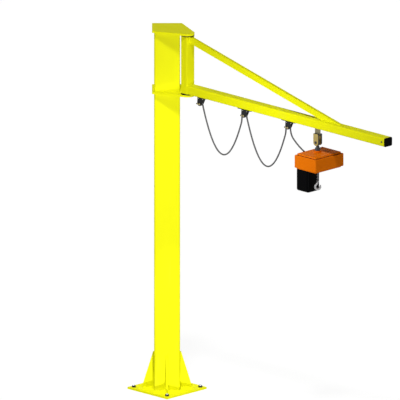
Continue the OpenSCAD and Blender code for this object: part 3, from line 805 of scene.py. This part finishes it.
route = cable_route()
cable, middles = tube_along("power_cable_sheath", route, [CABLE_D / 2] * len(route), CABLE_SIDES)
paint(cable, sheath_rubber("grey_cable_sheath", (0.108, 0.108, 0.112, 1), shine=0.48))
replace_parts(cable, "power_cable")
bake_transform(cable)

# Moulded boot over the cut end at the fixed clamp
boot = turned("cable_end_boot", [(0, -0.004), (0.0082, -0.004), (0.0098, -0.003), (0.0104, 0.0),
                                 (0.0104, 0.016), (0.0096, 0.019), (0.0060, 0.0205), (0, 0.021)])
first_run = (middles[0] - middles[1]).normalized()
set_down(boot, middles[0] - first_run * BOOT_BACK, axis=first_run)
put_on(boot, black_plastic, "jib")

# -------- trolley and clevis
# A steel plate carries two axles with flanged wheels in the rail. Below it a
# forged clevis of passivated steel holds the hoist's eye on a pin.

TROLLEY_X = 2.130
# Colour of the painted shade on the clevis faces not turned along Y
CLEVIS_PAINTED_SHADE = (0.035, 0.036, 0.035, 1)
PIN_HEAD_R = 0.0140
PIN_HEAD_T = 0.0056
COTTER_OUT = 0.0032
COTTER_R = 0.0012
COTTER_LINE = [(-0.013, -0.004), (-0.006, 0.0012), (0.007, -0.0012), (0.014, 0.0036),
               (0.017, -0.0004), (0.013, -0.0030)]

hanger_steel = turned_metal("hanger_steel", (0.20, 0.18, 0.11, 1), shine=0.42,
                            stain=(0.10, 0.08, 0.05, 1), metallic=0.5)
clevis_zinc_painted_shade = turned_metal("clevis_zinc_painted_shade", (0.40, 0.31, 0.10, 1), shine=0.34,
                           stain=(0.20, 0.13, 0.05, 1), metallic=0.55)

# The cheeks' faces keep the passivated colour. Every face not turned along Y (the sides, the top
# and the bottom) gets painted shade in a dark colour
tree = clevis_zinc_painted_shade.node_tree
skin = next(node for node in tree.nodes if node.type == "BSDF_PRINCIPLED")
face_tone = skin.inputs["Base Color"].links[0].from_socket
place = add_node(tree, "ShaderNodeTexCoord")
side = add_node(tree, "ShaderNodeSeparateXYZ", {0: place.outputs["Normal"]})
painted_shade_sides = ramp(tree, calc(tree, "ABSOLUTE", side.outputs["Y"]), low=0.9, high=0.6)
tree.links.new(mix(tree, painted_shade_sides, face_tone, CLEVIS_PAINTED_SHADE), skin.inputs["Base Color"])

finish_node(hanger_steel, "trolley_hanger")
finish_node(wheel_steel, "trolley_wheels")
finish_node(clevis_zinc_painted_shade, "clevis")
finish_node(black_oxide, "clevis_pin", "suspension_eye")

pin_low, pin_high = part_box("clevis_pin")
pin_z = (pin_low.z + pin_high.z) / 2
cheek_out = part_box("clevis")[1].y
head = turned("clevis_pin_head", [(0, 0), (PIN_HEAD_R - 0.0015, 0), (PIN_HEAD_R, 0.0012),
                                  (PIN_HEAD_R, PIN_HEAD_T - 0.0014),
                                  (PIN_HEAD_R - 0.0015, PIN_HEAD_T), (0, PIN_HEAD_T)], steps=40)
set_down(head, (TROLLEY_X, -cheek_out - 0.0002, pin_z), axis=(0, -1, 0))
put_on(head, black_oxide, "hoist")
ring = turned("ring", [(0.0092, 0), (0.0150, 0), (0.0150, 0.0018), (0.0092, 0.0018), (0.0092, 0)],
              steps=40)
set_down(ring, (TROLLEY_X, cheek_out + 0.0001, pin_z), axis=(0, 1, 0))
cotter_route = [Vector((TROLLEY_X + dx, cheek_out + COTTER_OUT, pin_z + dz))
                for dx, dz in COTTER_LINE]
cotter, _ = tube_along("cotter", cotter_route, [COTTER_R] * len(COTTER_LINE), 8)
put_on(join("clevis_pin_cotter", [ring, cotter]), zinc_plate, "hoist")

# -------- hoist housing
# Two cast covers and a middle shell, sprayed orange, screwed together over a
# black rubber gasket. The cable enters through a gland with a ribbed sleeve.

housing_low, housing_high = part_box("hoist_housing")
lid_low, lid_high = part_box("hoist_lid")
belly_low, belly_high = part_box("hoist_belly_plate")
HOIST_X = (housing_low.x + housing_high.x) / 2
PAD_H = 0.020
COVER_R = 0.008
GASKET_R = 0.0022
COVER_SCREW = (0.010, 0.0042)
COVER_SCREW_IN = 0.017
SLEEVE_FROM = 1.9255
SLEEVE_STEPS = 24
SLEEVE_R = 0.0088
SLEEVE_SWELL = 0.0028
SLEEVE_RIB = 0.0008

orange_coat = sprayed_coat("orange_top_coat", (0.80, 0.175, 0.002, 1), shine=0.46,
                           primer=(0.35, 0.12, 0.03, 1), dust_colour=(0.48, 0.26, 0.12, 1),
                           peel_depth=0.00012)
gasket_rubber = moulded_plastic("gasket_rubber", (0.006, 0.005, 0.004, 1), shine=0.6,
                                grain=0.00005, specular=0.06)


def gasket(name, low, high, z):
    """A cord of rubber round a cover's foot, with the cover's own round corners."""
    centre, half = (low + high) / 2, (high - low) / 2
    reach = COVER_R + GASKET_R * 0.2
    line = []
    for k, (sx, sy) in enumerate([(1, 1), (-1, 1), (-1, -1), (1, -1)]):
        for i in range(5):
            a = math.pi / 2 * (k + i / 4)
            line.append((centre.x + sx * (half.x - COVER_R) + reach * math.cos(a),
                         centre.y + sy * (half.y - COVER_R) + reach * math.sin(a), z))
    cord = swept(name, line, [1] * len(line), depth=GASKET_R, detail=3, closed=True)
    smooth(cord, 60)
    put_on(cord, gasket_rubber, "hoist")


def socket_screw(diameter, height):
    """A cap screw head with a hexagon socket, standing on z = 0."""
    r = diameter / 2
    head = turned("screw", [(0, 0), (r, 0), (r, height - 0.0006), (r - 0.0006, height),
                            (0, height)], steps=28)
    socket = primitive(bpy.ops.mesh.primitive_cylinder_add, "socket", vertices=6,
                       radius=r * 0.58, depth=height, location=(0, 0, height * 1.1))
    cut(head, socket, "DIFFERENCE")
    smooth(head)
    return head


finish_node(orange_coat, "hoist_housing", "hoist_lid", "hoist_belly_plate")
gasket("lid_gasket", lid_low, lid_high, lid_low.z + GASKET_R * 0.6)
gasket("belly_gasket", belly_low, belly_high, belly_high.z - GASKET_R * 0.6)
screws = []
for sx in (-1, 1):
    for sy in (-1, 0, 1):
        x = HOIST_X + sx * ((lid_high.x - lid_low.x) / 2 - COVER_SCREW_IN)
        y = sy * (lid_high.y - COVER_SCREW_IN)
        screw = socket_screw(*COVER_SCREW)
        screws.append(set_down(screw, (x, y, lid_high.z - PAD_H), turn=sx + sy))
        if sx > 0:
            screw = socket_screw(*COVER_SCREW)
            screws.append(set_down(screw, (x, y, belly_low.z), axis=(0, 0, -1)))
put_on(join("hoist_cover_screws", screws), orange_coat, "hoist")

gland_low, gland_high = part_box("cable_gland")
body_nut = hexagon("body_nut", 0.034, 0.010)
barrel = turned("barrel", [
    (0, 0.009), (0.0130, 0.009), (0.0130, 0.0135), (0.0122, 0.0142), (0.0122, 0.0148),
    (0.0130, 0.0155), (0.0130, 0.0215), (0.0118, 0.0268), (0.0104, 0.0292), (0.0086, 0.0300),
    (0, 0.0300)], steps=40)
gland = join("cable_gland_body", [body_nut, barrel])
set_down(gland, (gland_high.x, 0, (gland_low.z + gland_high.z) / 2), axis=(-1, 0, 0),
         turn=math.radians(30))
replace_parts(put_on(gland, black_plastic, "hoist"), "cable_gland")

# Ribbed sleeve, thick at the gland and thin along the cable
near = [m for m in middles if m.x > SLEEVE_FROM]
sleeve_path, sleeve_radii = [], []
for i in range(SLEEVE_STEPS + 1):
    t = i / SLEEVE_STEPS * (len(near) - 1)
    k = min(int(t), len(near) - 2)
    sleeve_path.append(near[k].lerp(near[k + 1], t - k))
    rib = SLEEVE_RIB if i % 3 == 1 and 1 < i < SLEEVE_STEPS else 0.0
    sleeve_radii.append(SLEEVE_R + SLEEVE_SWELL * (i / SLEEVE_STEPS) ** 1.2 + rib)
sleeve, _ = tube_along("cable_sleeve", sleeve_path, sleeve_radii, 20)
put_on(sleeve, black_plastic, "hoist")

# -------- chain guide and container
# A plastic collar leads the chain out of the housing. The slack chain falls in
# a deep moulded container that hangs under the bottom cover.

LUG_SCREW = (0.0085, 0.0035)
LUG_DX = 0.052
LUG_DROP = 0.007
bin_low, bin_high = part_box("chain_container")
finish_node(bearing_plastic, "chain_guide")
finish_node(black_plastic, "chain_container")
lugs = []
for sy in (-1, 1):
    for dx in (-LUG_DX, LUG_DX):
        at = ((bin_low.x + bin_high.x) / 2 + dx, sy * (bin_high.y - 0.0002), bin_high.z - LUG_DROP)
        lugs.append(set_down(socket_screw(*LUG_SCREW), at, axis=(0, sy, 0), turn=dx * 40))
put_on(join("container_screws", lugs), zinc_plate, "hoist")

# -------- load chain
# Short-link chain of 5 mm round steel, each link turned square to the next. The
# spare links wait in the housing.

WIRE = 0.005
HOOK_DOWN = 2.38
SPARE_PITCH = 0.015
SPARE_ABOVE = 0.016
SPARE_STACK = 0.095
SPARE_SIDES = (10, 6)
LINK_PLAY = 0.0002
GAP = 0.0003
ferrule_low, ferrule_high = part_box("hook_ferrule")
span = belly_low.z - ferrule_high.z - 2 * WIRE - 2 * GAP - LINK_PLAY
LINKS = round(span / SPARE_PITCH)
PITCH = span / LINKS

chain_steel = turned_metal("browned_chain_steel", (0.15, 0.15, 0.155, 1), shine=0.36,
                           stain=(0.07, 0.065, 0.06, 1), metallic=0.7)


def chain(name, spots, pitch, around, across):
    """Links at heights, each a ring of round wire whose halves are drawn apart along Z."""
    ring_r = WIRE * 1.2
    pattern = primitive(bpy.ops.mesh.primitive_torus_add, "link", major_segments=around,
                        minor_segments=across, major_radius=ring_r, minor_radius=WIRE / 2,
                        rotation=(math.pi / 2, 0, 0))
    drawn = (pitch + LINK_PLAY + WIRE) / 2 - ring_r
    for v in pattern.data.vertices:
        if abs(v.co.z) > 1e-5:
            v.co.z += math.copysign(drawn, v.co.z)
    smooth(pattern, 70)
    links = []
    for turn, z in spots:
        link = add_to_scene("link", pattern.data.copy())
        link.data.transform(Matrix.Translation((TROLLEY_X, 0, z))
                            @ Matrix.Rotation(math.radians(turn), 4, "Z"))
        links.append(link)
    bpy.data.objects.remove(pattern, do_unlink=True)
    return join(name, links)


first_link = ferrule_high.z + GAP + WIRE + LINK_PLAY / 2
shown = [(45 + 90 * (i % 2), first_link + PITCH * (i + 0.5)) for i in range(LINKS)]
hanging = chain("load_chain_links", shown, PITCH, 24, 10)
put_on(hanging, chain_steel, "hook_block")
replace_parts(hanging, "load_chain")

top_link = shown[-1][1]
spare_run = HOOK_DOWN + housing_low.z - first_link - PITCH * LINKS
spare_count = math.ceil(spare_run / SPARE_PITCH) + 1
spare_spots, spare_share = [], []
for k in range(1, spare_count + 1):
    z_rest = min(top_link + SPARE_PITCH * k,
                 housing_low.z + SPARE_ABOVE + SPARE_STACK * k / spare_count)
    z_lowered = top_link - HOOK_DOWN + SPARE_PITCH * k
    spare_spots.append((45 + 90 * ((LINKS - 1 + k) % 2), z_rest))
    spare_share.append(max(0.0, min(1.0, (z_rest - z_lowered) / HOOK_DOWN)))
spare = chain("load_chain_spare_links", spare_spots, SPARE_PITCH, *SPARE_SIDES)
paint(spare, chain_steel)
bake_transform(spare)

# -------- ferrule and hook
# The drop-forged hook turns in a bushed steel ferrule, which is closed on the
# last link by a cross pin.

GROOVE_R = 0.0138
GROOVE_AT = 0.006
forged_steel = turned_metal("forged_hook_steel", (0.40, 0.40, 0.41, 1), shine=0.46,
                            stain=(0.22, 0.21, 0.20, 1), metallic=0.35)
finish_node(black_oxide, "hook_ferrule")
finish_node(forged_steel, "load_hook")
mid_z = ferrule_low.z + (ferrule_high.z - ferrule_low.z) * 0.42
trim = []
for z in (mid_z - GROOVE_AT, mid_z + GROOVE_AT):
    trim.append(turned("groove", [
        (GROOVE_R, z - 0.0011), (GROOVE_R + 0.0006, z - 0.0005), (GROOVE_R + 0.0006, z + 0.0005),
        (GROOVE_R, z + 0.0011), (GROOVE_R, z - 0.0011)], steps=40))
for s in (-1, 1):
    pin = turned("pin", [(0, 0), (0.0026, 0), (0.0026, 0.0156), (0.0018, 0.0164), (0, 0.0166)],
                 steps=20)
    trim.append(set_down(pin, (0, 0, mid_z), axis=(s, 0, 0)))
trim = join("ferrule_trim", trim)
trim.data.transform(Matrix.Translation((TROLLEY_X, 0, 0)))
put_on(trim, pin_steel, "hook_block")

# -------- studio
# A pale floor in white surroundings. Two distant lamps, one low and one high, and
# three near ones light the front. Two soft distant lamps light the back.

FLOOR_SIZE = 120
FLOOR_DROP = 0.0005
FLOOR_PALE = (0.35, 0.35, 0.35, 1)
FLOOR_FAINT = (0.12, 0.12, 0.12, 1)
FLOOR_GLOW = 0.94
WORLD_LIGHT = 0.05
SPOT_BLEND = 0.4
FAR_OFF = 8


def seen_as_background(tree):
    """1 where the camera, a reflection or clear glass looks, 0 for light that falls on a piece."""
    rays = add_node(tree, "ShaderNodeLightPath").outputs
    seen = calc(tree, "ADD", rays["Is Camera Ray"], rays["Is Glossy Ray"])
    return calc(tree, "ADD", seen, rays["Is Transmission Ray"], use_clamp=True)


bpy.ops.mesh.primitive_plane_add(size=FLOOR_SIZE, location=(0, 0, -FLOOR_DROP))
floor = bpy.context.object
floor.name = "studio_floor"
floor_white, tree = blank_material("studio_floor")
pale = add_node(tree, "ShaderNodeBsdfDiffuse", {"Color": FLOOR_PALE})
faint = add_node(tree, "ShaderNodeBsdfDiffuse", {"Color": FLOOR_FAINT})
glow = add_node(tree, "ShaderNodeEmission", {"Strength": FLOOR_GLOW})
backdrop = add_node(tree, "ShaderNodeAddShader", {0: faint.outputs[0], 1: glow.outputs[0]})
mixed = add_node(tree, "ShaderNodeMixShader", {0: seen_as_background(tree), 1: pale.outputs[0],
                                               2: backdrop.outputs[0]})
add_node(tree, "ShaderNodeOutputMaterial", {0: mixed.outputs[0]})
floor.data.materials.append(floor_white)
floor.visible_shadow = False

world = bpy.data.worlds.new("studio")
bpy.context.scene.world = world
world.use_nodes = True
tree = world.node_tree
tree.nodes.clear()
strength = add_node(tree, "ShaderNodeMapRange", {"Value": seen_as_background(tree),
                                                 "To Min": WORLD_LIGHT, "To Max": 1.0})
light = add_node(tree, "ShaderNodeBackground", {"Strength": strength.outputs[0]})
add_node(tree, "ShaderNodeOutputWorld", {0: light.outputs[0]})


def lamp_at(name, kind, place, look, power):
    """A lamp of one kind at a place, looking along a direction."""
    lamp = add_to_scene(name, bpy.data.lights.new(name, kind))
    lamp.data.energy = power
    lamp.location = place
    face_along(lamp, -Vector(look))
    return lamp


def near_lamp(name, place, look, power, size, cone=None):
    """A small lamp near the crane. A cone, in degrees, makes it a spot."""
    lamp = lamp_at(name, "SPOT" if cone else "POINT", place, look, power)
    lamp.data.shadow_soft_size = size
    if cone:
        lamp.data.spot_size, lamp.data.spot_blend = math.radians(cone), SPOT_BLEND


def far_lamp(name, bearing, rise, power, softness):
    """A distant lamp. The bearing is its direction from +X towards +Y, in degrees."""
    a, e = math.radians(bearing), math.radians(rise)
    to_lamp = Vector((math.cos(a) * math.cos(e), math.sin(a) * math.cos(e), math.sin(e)))
    lamp = lamp_at(name, "SUN", to_lamp * FAR_OFF, -to_lamp, power)
    lamp.data.angle = math.radians(softness)
    return lamp


near_lamp("arm_lamp", (1.6, -1.6, 3.15), (0, 0, -1), power=50, size=0.15)
near_lamp("base_lamp", (0.75, -0.6, 2.9), (-0.75, 0.6, -2.9), power=80, size=0.1, cone=22)
near_lamp("column_lamp", (8.0, -6.0, -2.5), (-8.0, 6.0, 3.7), power=1250, size=0.15, cone=21)
far_lamp("low_lamp", bearing=-36, rise=-14.5, power=0.9, softness=6)
far_lamp("high_lamp", bearing=-50, rise=63, power=1.65, softness=6)
for name, bearing in {"left_back_lamp": 180, "right_back_lamp": 90}.items():
    far_lamp(name, bearing, rise=4, power=1.25, softness=30).visible_glossy = False
bpy.context.scene.view_settings.view_transform = "Standard"
